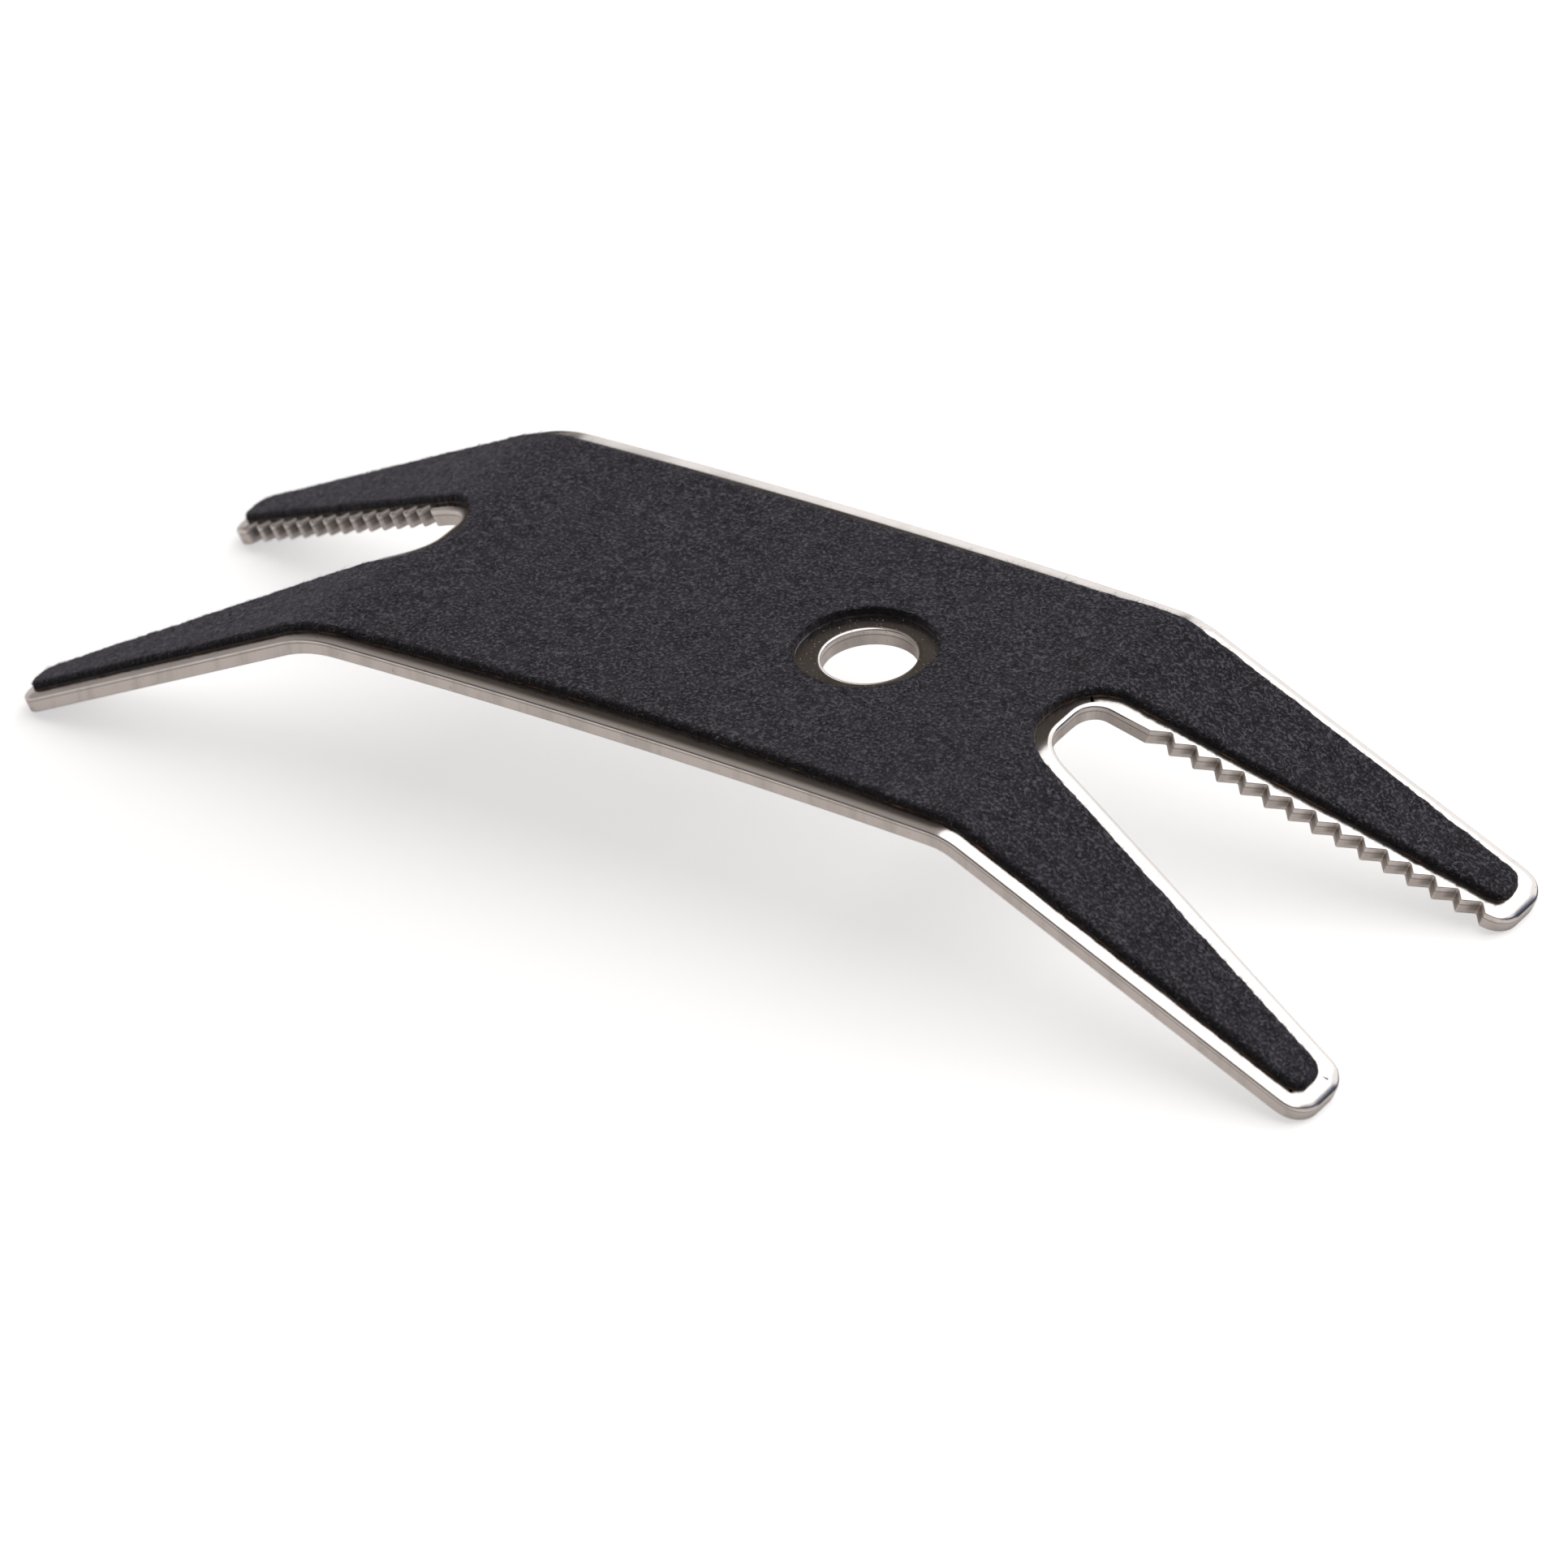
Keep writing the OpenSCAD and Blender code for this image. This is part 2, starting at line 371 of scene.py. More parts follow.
# along each outline, in mm: width of the roll, its drop, radius of the turn into the wall; and
# the power the drop grows with
width, drop = (AT_TEETH[k] + plain * (PLAIN_EDGE[k] + LONG_EDGE[k] * strong)
               + REAR_TEETH[k] * rear_teeth + WEB_FAR[k] * web_far for k in (0, 1))
turn_in = AT_TEETH[2] + PLAIN_EDGE[2] * plain + REAR_TEETH[2] * rear_teeth + TIP_TURN * ends * plain
rolls = [
    (width, drop, turn_in, 2 - WEB_FAR_POWER * web_far),
    tuple(np.full(len(bore), value) for value in BORE_ROLL),
]
# painted shade in the notches, darkest at their bottoms, standing in for the dark their flanks reflect
painted_notch_shade = 1 - smooth(nearest(outer, valleys), NOTCH_SHADE_NEAR, np.where(rear, NOTCH_SHADE_REAR, NOTCH_SHADE_FRONT))
painted_notch_shade = [painted_notch_shade * np.where(rear, 1, FRONT_NOTCH_SHADE), np.zeros(len(bore))]
loops = [outer, bore]


def edge_rings(width, drop, corner, power):
    """The plate's edge in section, from the flat top face round to the flat underside: for each
    ring its inset, its height and the lean of its normal away from straight up."""
    rings = []
    lip = width + corner
    for k in range(ROLL_STEPS):
        u = k / (ROLL_STEPS - 1)
        lean = np.arctan(power * drop * u ** (power - 1) / width)
        last = lean
        rings.append((lip - (lip - corner * (1 - np.sin(lean))) * u, -drop * u ** power, lean))
    for k in range(1, CORNER_STEPS + 1):
        lean = last + (math.pi / 2 - last) * k / CORNER_STEPS
        fall = drop + corner * (np.cos(last) - np.cos(lean))
        rings.append((corner * (1 - np.sin(lean)), -fall, lean))
    for k in range(CORNER_STEPS + 1):
        lean = np.full(len(drop), math.pi / 2 * (1 + k / CORNER_STEPS))
        rings.append((UNDER * (1 - np.sin(lean)), UNDER * (1 + np.cos(lean)) - sheet, lean))
    return rings


def face_points(rims):
    """Points in rows over the inside of a face."""
    lo, hi = rims[0].min(0), rims[0].max(0)
    grid = np.array([(s, y) for s in np.arange(lo[0] + FACE_START, hi[0], FACE_STEP)
                     for y in np.arange(lo[1] + FACE_START, hi[1], FACE_RISE)])
    grid = grid[within(grid, rims)]
    return grid[edge_distance(grid, rims) > FACE_CLEAR]


def build_steel():
    """Rings of points from the top round to the underside of each edge, then the two faces."""
    pts, nrm, side, depth, notch, faces = [], [], [], [], [], []

    def add(q, h, normal, sideways, painted_shade):
        """Adds flat points at heights h, and gives the number of the first."""
        first = sum(len(p) for p in pts)
        pts.append(bent.place(q[:, 0], q[:, 1], h))
        nrm.append(bent.turn(q[:, 0], normal))
        side.append(sideways)
        depth.append(-h / sheet)
        # the notches' painted shade, per point
        notch.append(painted_shade)
        return first

    lips, soles = [], []
    for loop, roll, painted_shade in zip(loops, rolls, painted_notch_shade):
        out, stretch = outward(loop)
        rings = []
        for inset, h, lean in edge_rings(*roll):
            q = loop - out * (stretch * inset)[:, None]
            normal = np.column_stack([out * np.sin(lean)[:, None], np.cos(lean)])
            rings.append((add(q, h, normal, np.sin(lean), painted_shade), q))
        lips.append(rings[0])
        soles.append(rings[-1])
        for (above, _), (below, _) in zip(rings, rings[1:]):
            faces += ring_faces(above, below, len(loop)).tolist()
    for rims, h, up in ((lips, 0.0, 1), (soles, -sheet, -1)):
        outlines = [q for _, q in rims]
        inner = face_points(outlines)
        tri = filled(outlines, inner)
        n = len(inner)
        first = add(inner, np.full(n, h), np.tile((0.0, 0.0, up), (n, 1)), np.zeros(n), np.zeros(n))
        ids = [start + np.arange(len(q)) for start, q in rims] + [first + np.arange(n)]
        faces += np.concatenate(ids)[tri[:, ::up]].tolist()
    return make("steel_body", np.vstack(pts), faces, np.vstack(nrm),
                values={"side": np.concatenate(side), "depth": np.concatenate(depth),
                        "notch": np.concatenate(notch)})


steel = build_steel()


# ---------------------------------------------------------------- the suede pad

pad_loops = top_outlines("suede_pad")
BEND_CLEAR = 8.0    # how far from the bends a lining's height is read


def height_over_steel(node):
    """Level of a lining node's top over the steel's top face, in mm."""
    co, _ = welded(node)
    on_web = (co[:, 0] > bent.rear_line[0] + BEND_CLEAR) & (co[:, 0] < bent.front_line[0] - BEND_CLEAR)
    web = co[on_web]
    s = bent.s_of(web[:, 0], 0)
    return (web[:, 2] - np.interp(s, bent.s, bent.p[:, 1])).max()


film_top = height_over_steel("adhesive_film")
pad_top = height_over_steel("suede_pad")

PAD_STEP = 0.27     # spacing of the nap surface's points
PAD_ROW_SHARE = 0.87  # spacing of their rows as a share of it, for even triangles
PAD_ROLL = 0.34     # how far in from the die-cut outer edge the nap rolls down
PAD_HOLE_ROLL = 0.12  # the same at the punched round opening
PAD_EDGE_STEP = 0.16  # longest step along its cut edges
PAD_HOLE_STEPS = 150
PAD_CROWDED = 0.08  # points of the CAD outline closer than this to the one before are left out
PAD_SMOOTHED = 0.06  # the same once its corners are rounded
PAD_CORNER = 0.3    # radius given to a sharp corner of the cut
CUT_INSET = 0.02    # how far in the cut edge lies on average
PAD_LOW = 0.22      # height of the nap at the outer cut edge, as a share of the pad's
PAD_HOLE_LOW = 0.86  # the same at the round opening
PAD_JITTER = 0.05   # how far each nap point strays from its place in the pattern
PAD_ROWS = (0.03, 0.09, 0.18)  # distances from the cut edge of the rows that follow it
PAD_CLEAR = 0.3     # least distance from the cut edge to the pattern's points
PAD_BULGE = 0.015   # how far the cut face bulges at half height
EDGE_SHADE_REACH = 0.4     # how far in the painted shade along the cut edge reaches
TOP_EDGE_SHADE = 0.85  # how strong the painted shade on the top is at the edge, where the cut face is 1
WAVES_AT_EDGE = 0.3  # how much of the waves is left where the nap is down
# (height or reach, cell size along, cell size across) of the unevenness, in mm
CUT_WANDER = ((0.04, 2.6), (0.045, 0.7), (0.035, 0.33))
NAP_WAVES = ((0.02, 2.1, 1.7), (0.02, 0.8, 0.7), (0.026, 0.36, 0.33))
CUT_SEED, WAVE_SEED, BEAD_SEED = 40, 3, 70


def pad_outline(loop, seed):
    """A cut edge with a slight wander and the fuzz of cut suede."""
    loop = refine(loop, PAD_EDGE_STEP)
    out, _ = outward(loop)
    along = np.cumsum(np.linalg.norm(loop - np.roll(loop, 1, 0), axis=1))
    wander = sum(reach * value_noise(along / cell, along * 0, seed + k)
                 for k, (reach, cell) in enumerate(CUT_WANDER))
    return loop + out * (wander - CUT_INSET)[:, None]


pad_flat = []
for k, loop in enumerate(pad_loops):
    p = thinned(flat(loop, bent, pad_top), PAD_CROWDED)
    p = thinned(soften(p, lambda point, turn: PAD_CORNER), PAD_SMOOTHED)
    if len(pad_loops) > 1 and k == len(pad_loops) - 1:
        c = (p.min(0) + p.max(0)) / 2
        p = circle(c[0], c[1], (p.max(0) - p.min(0)).mean() / 2, PAD_HOLE_STEPS)
    pad_flat.append(pad_outline(p, CUT_SEED + k))


def quarter_round(d, r):
    """Rises from 0 at the edge to 1 at distance r from it, as a quarter of a circle."""
    t = 1 - np.clip(d / r, 0, 1)
    return np.sqrt(1 - t * t)


def nap_height(p):
    """Height of the nap over the steel at flat points p."""
    x, y = p[:, 0], p[:, 1]
    waves = sum(high * value_noise(x / along, y / across, WAVE_SEED + k)
                for k, (high, along, across) in enumerate(NAP_WAVES))
    rim = PAD_LOW + (1 - PAD_LOW) * quarter_round(edge_distance(p, pad_flat[:1]), PAD_ROLL)
    at_hole = quarter_round(edge_distance(p, pad_flat[1:]), PAD_HOLE_ROLL)
    rim = np.minimum(rim, PAD_HOLE_LOW + (1 - PAD_HOLE_LOW) * at_hole)
    waves *= WAVES_AT_EDGE + (1 - WAVES_AT_EDGE) * rim
    return film_top + (pad_top - film_top) * rim + waves


def nap_points():
    """Points over the inside of the pad in an uneven pattern of triangles, and close rows along
    the cut edges, so that the rolled edge is round."""
    lo, hi = pad_flat[0].min(0), pad_flat[0].max(0)
    grid = []
    for k, y in enumerate(np.arange(lo[1], hi[1], PAD_STEP * PAD_ROW_SHARE)):
        s = np.arange(lo[0], hi[0], PAD_STEP) + (k % 2) * PAD_STEP / 2
        grid.append(np.column_stack([s, np.full(len(s), y)]))
    grid = np.vstack(grid)
    grid += rng.uniform(-PAD_JITTER, PAD_JITTER, grid.shape)
    grid = grid[within(grid, pad_flat)]
    grid = grid[edge_distance(grid, pad_flat) > PAD_CLEAR]
    rows = [loop - outward(loop)[0] * d for loop in pad_flat for d in PAD_ROWS]
    points = np.vstack(rows + [grid])
    return points[within(points, pad_flat)]


def build_pad():
    """The nap surface, and the cut face under each of its edges."""
    inner = nap_points()
    faces = filled(pad_flat, inner).tolist()
    top = np.vstack(pad_flat + [inner])
    h = nap_height(top)
    pts = [bent.place(top[:, 0], top[:, 1], h)]
    # painted shade along the cut edge, fading inwards; the cut face below gets it in full
    edge = [TOP_EDGE_SHADE * (1 - np.clip(edge_distance(top, pad_flat) / EDGE_SHADE_REACH, 0, 1))]
    base, start = len(top), 0
    for loop in pad_flat:
        n = len(loop)
        out, _ = outward(loop)
        above = start
        for share, bulge in ((0.5, PAD_BULGE), (0.0, 0.0)):
            q = loop + out * bulge
            pts.append(bent.place(q[:, 0], q[:, 1], film_top + (h[start:start + n] - film_top) * share))
            edge.append(np.ones(n))
            faces += ring_faces(above, base, n).tolist()
            above = base
            base += n
        start += n
    return make("suede_nap_surface", np.vstack(pts), faces, values={"edge": np.concatenate(edge)})


pad = build_pad()


BEAD_IN = 0.05      # how far the bead reaches under the lining's edge
BEAD_OUT, BEAD_VARIES, BEAD_CELL = 0.05, 0.05, 1.1  # its reach outwards, and how that varies
BEAD_TOP, BEAD_FOOT, BEAD_SOLE = 0.01, 0.015, 0.012  # its heights: over the film, over the steel


def build_bead():
    """A thin uneven bead of adhesive squeezed out along the lining's outer cut edge, three-sided
    in section."""
    loop = pad_flat[0]
    out, _ = outward(loop)
    n = len(loop)
    along = np.cumsum(np.linalg.norm(loop - np.roll(loop, 1, 0), axis=1))
    reach = BEAD_OUT + BEAD_VARIES * value_noise(along / BEAD_CELL, along * 0, BEAD_SEED)
    pts, faces = [], []
    for grow, h in ((-BEAD_IN, film_top + BEAD_TOP), (reach, BEAD_FOOT), (-BEAD_IN, BEAD_SOLE)):
        q = loop + out * np.broadcast_to(grow, n)[:, None]
        pts.append(bent.place(q[:, 0], q[:, 1], h))
    for a, b in ((0, 1), (1, 2), (2, 0)):
        faces += ring_faces(a * n, b * n, n).tolist()
    return make("adhesive_squeeze_out", np.vstack(pts), faces)


bead = build_bead()


HAIR_SPARE = 1.9    # points drawn over the pad's box for each hair that is kept
HAIR_CLEAR = 0.12   # least distance from the cut edge to a hair's root
FUZZ_STRAY = 0.05   # how far the roots of the edge's fuzz stray from their row
ROOT_DEPTH = 0.008  # how deep a root sits in the nap
TIP_LIFT = 0.1      # how much of its rise a hair keeps at its tip
TIP_WIDTH = 0.5     # how much of its width


def tube_faces(n, steps):
    """The faces of n three-sided tubes of that many steps, each ending in a point."""
    first = np.arange(n)[:, None] * (3 * steps + 1)
    last = first + 3 * (steps - 1)
    quads, tips = [], []
    for q in range(3):
        for k in range(steps - 1):
            a0, a1 = first + 3 * k + q, first + 3 * k + (q + 1) % 3
            quads.append(np.hstack([a0, a1, a1 + 3, a0 + 3]))
        tips.append(np.hstack([last + q, last + (q + 1) % 3, first + 3 * steps]))
    return np.vstack(quads).tolist() + np.vstack(tips).tolist()


def fibres(name, count, length, width, lift, curl, seed, steps, near_edge=None):
    """Fine hairs lying in the nap: three-sided tubes with a gentle curl that end in a point.
    Lengths and widths are in mm, the lift and curl in radians."""
    r = np.random.default_rng(seed)
    lo, hi = pad_flat[0].min(0), pad_flat[0].max(0)
    if near_edge is None:
        p = r.uniform(lo, hi, (int(count * HAIR_SPARE), 2))
        p = p[within(p, pad_flat)]
        p = p[edge_distance(p, pad_flat) > HAIR_CLEAR][:count]
    else:
        edge = np.vstack([loop - outward(loop)[0] * near_edge for loop in pad_flat])
        p = edge[r.integers(0, len(edge), count)] + r.normal(0, FUZZ_STRAY, (count, 2))
    n = len(p)
    heading = r.uniform(0, 2 * math.pi, n)
    size = r.uniform(*length, n)
    bend = r.normal(0, curl, n)
    rise = r.uniform(*lift, n)
    thick = r.uniform(*width, n) / 2
    pos = np.column_stack([p, nap_height(p) - ROOT_DEPTH])
    rings = []
    for k in range(steps + 1):
        t = k / steps
        a = heading + bend * t
        up = rise * (1 - (1 - TIP_LIFT) * t)
        d = np.column_stack([np.cos(a) * np.cos(up), np.sin(a) * np.cos(up), np.sin(up)])
        if k == steps:
            rings.append(pos)
            break
        across = np.column_stack([-np.sin(a), np.cos(a), np.zeros(n)])
        above = np.cross(d, across)
        w = thick * (1 - (1 - TIP_WIDTH) * t)
        for q in range(3):
            g = 2 * math.pi * q / 3
            rings.append(pos + (across * math.cos(g) - above * math.sin(g)) * w[:, None])
        pos = pos + d * (size / steps)[:, None]
    v = np.stack(rings, 1).reshape(-1, 3)
    pts = bent.place(v[:, 0], v[:, 1], v[:, 2])
    tone = np.repeat(r.uniform(0, 1, n), len(rings))
    return make(name, pts, tube_faces(n, steps), values={"tone": tone})


nap = fibres("suede_nap_hairs", 20000, length=(0.25, 0.75), width=(0.022, 0.034),
             lift=(0.0, 0.45), curl=1.5, seed=61, steps=3)
stray = fibres("suede_stray_fibres", 560, length=(0.4, 1.4), width=(0.02, 0.032),
               lift=(0.02, 0.3), curl=1.8, seed=62, steps=8)
fringe = fibres("suede_edge_fuzz", 5200, length=(0.12, 0.42), width=(0.02, 0.034),
                lift=(-0.4, 0.7), curl=1.2, seed=63, steps=2, near_edge=0.05)


# ---------------------------------------------------------------- materials

class Graph:
    """Short hand for building a tree of shader nodes."""

    def __init__(self, tree):
        self.tree = tree

    def node(self, kind, inputs=None, **settings):
        n = self.tree.nodes.new(kind)
        for k, v in settings.items():
            setattr(n, k, v)
        for k, v in (inputs or {}).items():
            self.put(n.inputs[k], v)
        return n

    def put(self, socket, v):
        if isinstance(v, bpy.types.NodeSocket):
            self.tree.links.new(v, socket)
        else:
            socket.default_value = v

    def noise(self, vector, scale, detail=3.0, rough=0.55):
        return self.node("ShaderNodeTexNoise", {
            "Vector": vector, "Scale": scale, "Detail": detail, "Roughness": rough}).outputs[0]

    def ramp(self, value, lo, hi, a=0.0, b=1.0):
        """Goes from a to b as the value goes from lo to hi."""
        return self.node("ShaderNodeMapRange", {
            "Value": value, "From Min": lo, "From Max": hi, "To Min": a, "To Max": b},
            interpolation_type="SMOOTHSTEP").outputs[0]

    def math(self, op, a, b=0.5):
        n = self.node("ShaderNodeMath", operation=op)
        self.put(n.inputs[0], a)
        self.put(n.inputs[1], b)
        return n.outputs[0]

    def times(self, a, b):
        return self.math("MULTIPLY", a, b)

    def mix(self, t, a, b):
        """Colour a turning into colour b; sockets 6 and 7 are the node's two colours."""
        n = self.node("ShaderNodeMix", data_type="RGBA")
        self.put(n.inputs[0], t)
        self.put(n.inputs[6], a)
        self.put(n.inputs[7], b)
        return n.outputs[2]

    def attribute(self, name):
        return self.node("ShaderNodeAttribute", attribute_name=name).outputs["Fac"]

    def stretch(self, vector, scale):
        return self.node("ShaderNodeMapping", {"Vector": vector, "Scale": scale}).outputs[0]

    def surface(self, **inputs):
        b = self.node("ShaderNodeBsdfPrincipled")
        for k, v in inputs.items():
            self.put(b.inputs[k.replace("_", " ")], v)
        out = self.node("ShaderNodeOutputMaterial")
        self.tree.links.new(b.outputs[0], out.inputs[0])
        return b

    def bump(self, height, strength, distance, normal=None):
        n = self.node("ShaderNodeBump", {"Height": height, "Strength": strength, "Distance": distance})
        if normal is not None:
            self.put(n.inputs["Normal"], normal)
        return n.outputs[0]


def new_material(name):
    m = bpy.data.materials.new(name)
    m.use_nodes = True
    m.node_tree.nodes.clear()
    return m, Graph(m.node_tree)


def object_coordinates(g):
    """The point's place on the object, in metres; the noise scales below are per metre."""
    return g.node("ShaderNodeTexCoord").outputs["Object"]


def steel_material():
    """Bright tumbled faces; duller blanked walls with painted shade in the notches; specks all over."""
    bright, grey = (0.80, 0.755, 0.735, 1), (0.75, 0.71, 0.685, 1)
    burnished, sheared_tone, torn = (0.97, 0.89, 0.85, 1), (0.83, 0.75, 0.71, 1), (0.3, 0.275, 0.26, 1)
    # painted shade for the notches, and a scratched tone
    notch_shade_tone, scratched = (0.1, 0.075, 0.055, 1), (0.45, 0.42, 0.39, 1)
    speck, dust_tone = (0.32, 0.27, 0.22, 1), (0.42, 0.33, 0.25, 1)
    m, g = new_material("stamped_stainless")
    at = object_coordinates(g)
    side = g.attribute("side")
    depth = g.attribute("depth")
    grain = g.noise(g.stretch(at, (250, 4500, 4500)), 1.0, 4)
    cloud = g.noise(at, 260, 4)
    fine = g.noise(at, 5200, 3)
    # the blanked edge: a burnished band, a thin torn line, then a duller sheared band
    tear = g.times(g.ramp(depth, 0.29, 0.33), g.ramp(depth, 0.41, 0.36))
    sheared = g.ramp(depth, 0.33, 0.4)
    edge_grain = g.noise(g.stretch(at, (900, 900, 160)), 1.0, 3)
    wall = g.ramp(side, 0.9, 1.0)
    tone = g.mix(g.ramp(cloud, 0.35, 0.7), bright, grey)
    wall_tone = g.mix(sheared, burnished, sheared_tone)
    wall_tone = g.mix(g.times(tear, 0.75), wall_tone, torn)
    # painted shade in the notches, partway down the wall
    notch_shade_mask = g.times(g.ramp(depth, 0.0, 0.3), g.ramp(depth, 0.85, 0.6))
    notch_shade_mask = g.times(g.attribute("notch"), notch_shade_mask)
    wall_tone = g.mix(g.times(notch_shade_mask, 0.9), wall_tone, notch_shade_tone)
    wall_tone = g.mix(g.ramp(edge_grain, 0.4, 0.8, 0.0, 0.3), wall_tone, scratched)
    color = g.mix(wall, tone, wall_tone)
    specks = g.ramp(g.noise(at, 3800, 2), 0.69, 0.74, 0.0, 0.5)
    color = g.mix(specks, color, speck)
    # pale dust that settles round the hole
    reach = g.node("ShaderNodeVectorMath", {0: at}, operation="LENGTH").outputs["Value"]
    dust = g.times(g.ramp(g.noise(at, 4600, 1), 0.7, 0.76), g.ramp(reach, 0.0062, 0.005))
    color = g.mix(dust, color, dust_tone)
    rough_top = g.ramp(cloud, 0.3, 0.75, 0.15, 0.22)
    rough_wall = g.ramp(edge_grain, 0.3, 0.7, 0.30, 0.44)
    rough = g.node("ShaderNodeMix", {0: wall, 2: rough_top, 3: rough_wall}).outputs[0]
    rough = g.math("MAXIMUM", rough, g.times(dust, 0.8))
    normal = g.bump(grain, 0.05, 0.00002)
    normal = g.bump(fine, 0.05, 0.00002, normal)
    normal = g.bump(g.times(edge_grain, wall), 0.35, 0.00006, normal)
    metal = g.math("SUBTRACT", 1.0, g.times(dust, 0.9))
    g.surface(Base_Color=color, Metallic=metal, Roughness=rough, Normal=normal)
    return m


def suede_material(name, hairs=False):
    """Mottled charcoal nap: the hairs vary one by one, the surface has painted shade along its cut
    edge.
    """
    dark, mid, light = (0.012, 0.011, 0.013, 1), (0.028, 0.0262, 0.0315, 1), (0.145, 0.139, 0.16, 1)
    # flecks, and the painted shade of the cut edge
    flecks, edge_shade_tone = (0.2, 0.195, 0.215, 1), (0.008, 0.007, 0.007, 1)
    dark_hair, light_hair = (0.009, 0.0085, 0.010, 1), (0.22, 0.215, 0.24, 1)
    pale_hair = (0.4, 0.39, 0.415, 1)
    m, g = new_material(name)
    at = object_coordinates(g)
    cloud = g.noise(at, 700, 4)
    patch = g.noise(at, 3600, 3, 0.6)
    fine = g.noise(at, 11000, 2)
    color = g.mix(g.ramp(cloud, 0.35, 0.65), dark, mid)
    color = g.mix(g.ramp(patch, 0.48, 0.66, 0, 0.85), color, light)
    color = g.mix(g.ramp(fine, 0.58, 0.72, 0, 0.5), color, flecks)
    if hairs:
        tone = g.attribute("tone")
        color = g.mix(g.ramp(tone, 0.4, 0.95), dark_hair, light_hair)
        color = g.mix(g.ramp(tone, 0.92, 1.0), color, pale_hair)
    else:
        # painted shade along the cut edge and on the cut face
        edge = g.attribute("edge")
        color = g.mix(g.ramp(edge, 0.1, 0.9, 0, 0.9), color, edge_shade_tone)
    normal = g.bump(patch, 0.9, 0.0002)
    normal = g.bump(fine, 0.7, 0.00006, normal)
    g.surface(Base_Color=color, Roughness=g.ramp(patch, 0.3, 0.7, 0.88, 1.0), Normal=normal,
              Specular_IOR_Level=0.12, Sheen_Weight=0.29, Sheen_Roughness=0.45,
              Sheen_Tint=(0.62, 0.6, 0.72, 1))
    return m


def fibre_material():
    m, g = new_material("pale_stray_fibre")
    at = object_coordinates(g)
    tone = g.attribute("tone")
    color = g.mix(g.ramp(tone, 0.2, 1.0), (0.1, 0.096, 0.105, 1), (0.5, 0.49, 0.49, 1))
    color = g.mix(g.ramp(g.noise(at, 3000), 0.4, 0.7, 0, 0.4), color, (0.2, 0.19, 0.2, 1))
    g.surface(Base_Color=color, Roughness=0.6, Sheen_Weight=0.2,
              Normal=g.bump(g.noise(at, 12000), 0.3, 0.00001))
    return m


def film_material():
    m, g = new_material("adhesive_film")
    at = object_coordinates(g)
    cloud = g.noise(at, 900, 3)
    color = g.mix(g.ramp(cloud, 0.35, 0.7), (0.009, 0.007, 0.005, 1), (0.03, 0.02, 0.012, 1))
    g.surface(Base_Color=color, Roughness=g.ramp(cloud, 0.3, 0.7, 0.25, 0.5),
              Normal=g.bump(g.noise(at, 4000), 0.4, 0.00005))
    return m


def bead_material():
    m, g = new_material("squeezed_adhesive")
    at = object_coordinates(g)
    cloud = g.noise(at, 1100, 3)
    color = g.mix(g.ramp(cloud, 0.35, 0.65), (0.04, 0.02, 0.009, 1), (0.22, 0.105, 0.035, 1))
    g.surface(Base_Color=color, Roughness=g.ramp(cloud, 0.3, 0.7, 0.3, 0.55),
              Normal=g.bump(g.noise(at, 6000), 0.4, 0.00003))
    return m


def dress(ob, material):
    ob.data.materials.clear()
    ob.data.materials.append(material)


dress(steel, steel_material())
suede = suede_material("charcoal_suede")
hair = suede_material("charcoal_suede_hair", hairs=True)
dress(pad, suede)
dress(nap, hair)
dress(fringe, hair)
dress(stray, fibre_material())
film = frame["nodes"]["adhesive_film"]
dress(film, film_material())
dress(bead, bead_material())

pieces = {"steel": [steel], "suede": [pad, nap, stray, fringe], "adhesive": [bead]}
for slot, members in pieces.items():
    for ob in members:
        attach(ob, "root")
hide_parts("steel_plate")
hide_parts("suede_pad")


# ---------------------------------------------------------------- the studio

def floor_material():
    """A white table under soft light. The camera sees it a little over-exposed, as a studio
    sweep is; in the steel's grazing reflections its far part is dark."""
    m, g = new_material("floor")
    path = g.node("ShaderNodeLightPath").outputs
    seen = path["Is Camera Ray"]
    from_steel = g.node("ShaderNodeNewGeometry").outputs["Incoming"]
    along, across, up = g.node("ShaderNodeSeparateXYZ", {0: from_steel}).outputs
    far = g.times(g.ramp(up, 0.5, 0.32), g.ramp(across, -0.4, -0.6))
    far = g.times(far, g.ramp(along, 0.72, 0.66))
    far = g.times(far, path["Is Glossy Ray"])
    tint = g.mix(far, (0.85, 0.84, 0.83, 1), (0.07, 0.07, 0.075, 1))
    paper = g.node("ShaderNodeBsdfDiffuse", {"Color": tint}).outputs[0]
    glow = g.times(seen, 0.55)
    glow = g.node("ShaderNodeEmission", {"Color": (1, 1, 1, 1), "Strength": glow}).outputs[0]
    both = g.node("ShaderNodeAddShader", {0: paper, 1: glow}).outputs[0]
    g.node("ShaderNodeOutputMaterial", {"Surface": both})
    return m


FLOOR_SIZE = 30000  # in mm
half, floor_z = FLOOR_SIZE / 2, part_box("steel_plate")[0].z / MM
floor = make("floor", [(x * half, y * half, floor_z) for x, y in ((-1, -1), (1, -1), (1, 1), (-1, 1))],
             [(0, 1, 2, 3)])
dress(floor, floor_material())


def soft_box(name, low, high, height, radiance):
    """A rectangular light facing straight down, between two corners at that height, in mm."""
    light = bpy.data.lights.new(name, "AREA")
    light.shape = "RECTANGLE"
    light.size, light.size_y = (high[0] - low[0]) * MM, (high[1] - low[1]) * MM
    light.energy = radiance * math.pi * light.size * light.size_y
    ob = bpy.data.objects.new(name, light)
    ob.location = Vector(((low[0] + high[0]) / 2, (low[1] + high[1]) / 2, height)) * MM
    bpy.context.scene.collection.objects.link(ob)
    return ob


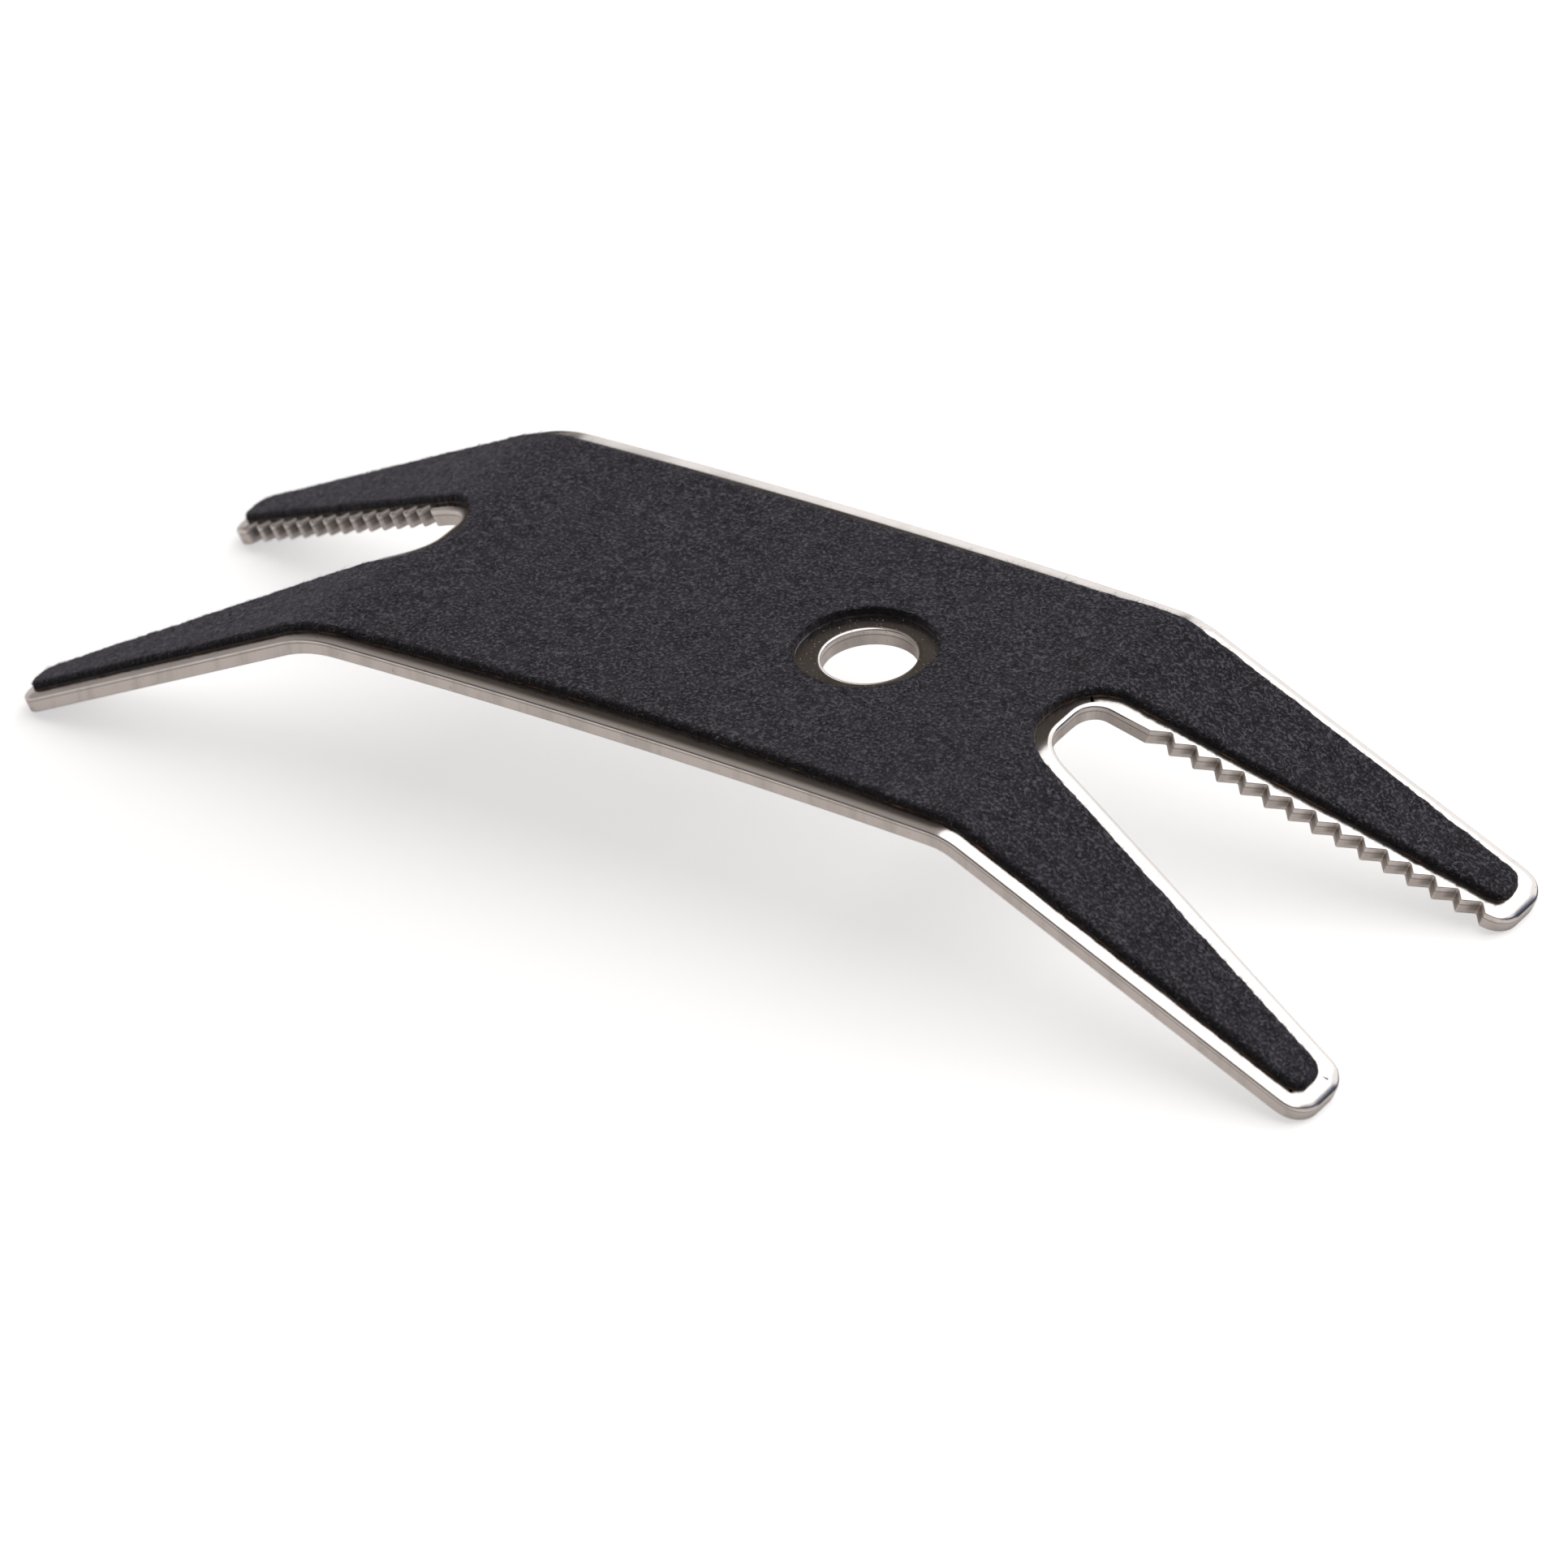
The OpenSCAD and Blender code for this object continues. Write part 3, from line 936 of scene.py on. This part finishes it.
# where the camera stands, in mm, and which way its right and its top point
CAMERA_AT = Vector((430.397, -563.111, 451.053))
CAMERA_RIGHT = Vector((0.81742, 0.57007, -0.08271))
CAMERA_UP = Vector((-0.25668, 0.48899, 0.83367))
CAMERA_LENS = 253.05
SENSOR_WIDTH = 36.0

cam = bpy.data.cameras.new("camera")
cam.lens, cam.sensor_width = CAMERA_LENS, SENSOR_WIDTH
cam.clip_start, cam.clip_end = 0.01, 100
camera = bpy.data.objects.new("camera", cam)
bpy.context.scene.collection.objects.link(camera)
cam.dof.use_dof = True
cam.dof.focus_object = steel
cam.dof.aperture_fstop = 55
back = CAMERA_RIGHT.cross(CAMERA_UP).normalized()
camera_turn = Matrix((CAMERA_RIGHT, back.cross(CAMERA_RIGHT), back)).transposed().to_4x4()
camera.matrix_world = Matrix.Translation(CAMERA_AT * MM) @ camera_turn
bpy.context.scene.camera = camera


def studio_world():
    """What the steel mirrors: a grey room with a dark corner, dim behind the camera, and a white
    sweep low at the back. The camera itself sees a plain pale grey."""
    walls, dark_corner = (0.33, 0.305, 0.285, 1), (0.052, 0.043, 0.036, 1)
    dim, left_wall = (0.075, 0.07, 0.072, 1), (0.36, 0.33, 0.315, 1)
    sweep, navy, plain_grey = (1.12, 1.11, 1.1, 1), (0.05, 0.07, 0.13, 1), (0.93, 0.93, 0.93, 1)
    world = bpy.data.worlds.new("studio")
    world.use_nodes = True
    world.node_tree.nodes.clear()
    g = Graph(world.node_tree)
    direction = g.node("ShaderNodeTexCoord").outputs["Generated"]
    x, y, z = g.node("ShaderNodeSeparateXYZ", {0: direction}).outputs
    # up to the rear left the walls turn dark
    toward_dark = g.node("ShaderNodeVectorMath", {0: direction, 1: (-0.516, 0.66, 0.546)},
                         operation="DOT_PRODUCT").outputs["Value"]
    room = g.mix(g.ramp(toward_dark, 0.78, 0.95), walls, dark_corner)
    behind = g.times(g.ramp(y, -0.4, -0.65), g.ramp(z, 0.78, 0.6))
    room = g.mix(behind, room, dim)
    low_left = g.times(g.ramp(x, -0.54, -0.66), g.ramp(z, 0.25, 0.05))
    room = g.mix(low_left, room, left_wall)
    # the sweep reaches higher towards the right
    sweep_top = g.ramp(x, -0.32, -0.08, 0.40, 0.68)
    below_top = g.ramp(g.math("SUBTRACT", sweep_top, z), -0.03, 0.03)
    low_back = g.times(g.ramp(y, 0.25, 0.45), below_top)
    low_back = g.times(low_back, g.ramp(x, -0.62, -0.54))
    room = g.mix(low_back, room, sweep)
    low_right = g.times(g.ramp(x, 0.44, 0.6), g.ramp(z, 0.58, 0.4))
    room = g.mix(low_right, room, navy)
    seen = g.node("ShaderNodeLightPath").outputs["Is Camera Ray"]
    room = g.mix(seen, room, plain_grey)
    background = g.node("ShaderNodeBackground", {"Color": room, "Strength": 1.0})
    g.node("ShaderNodeOutputWorld", {"Surface": background.outputs[0]})
    return world


bpy.context.scene.world = studio_world()
soft_box("overhead_soft_box", (-190, -450), (900, 1080), height=900, radiance=1.24)

bpy.context.scene.view_settings.view_transform = "Standard"
bpy.context.scene.view_settings.look = "None"
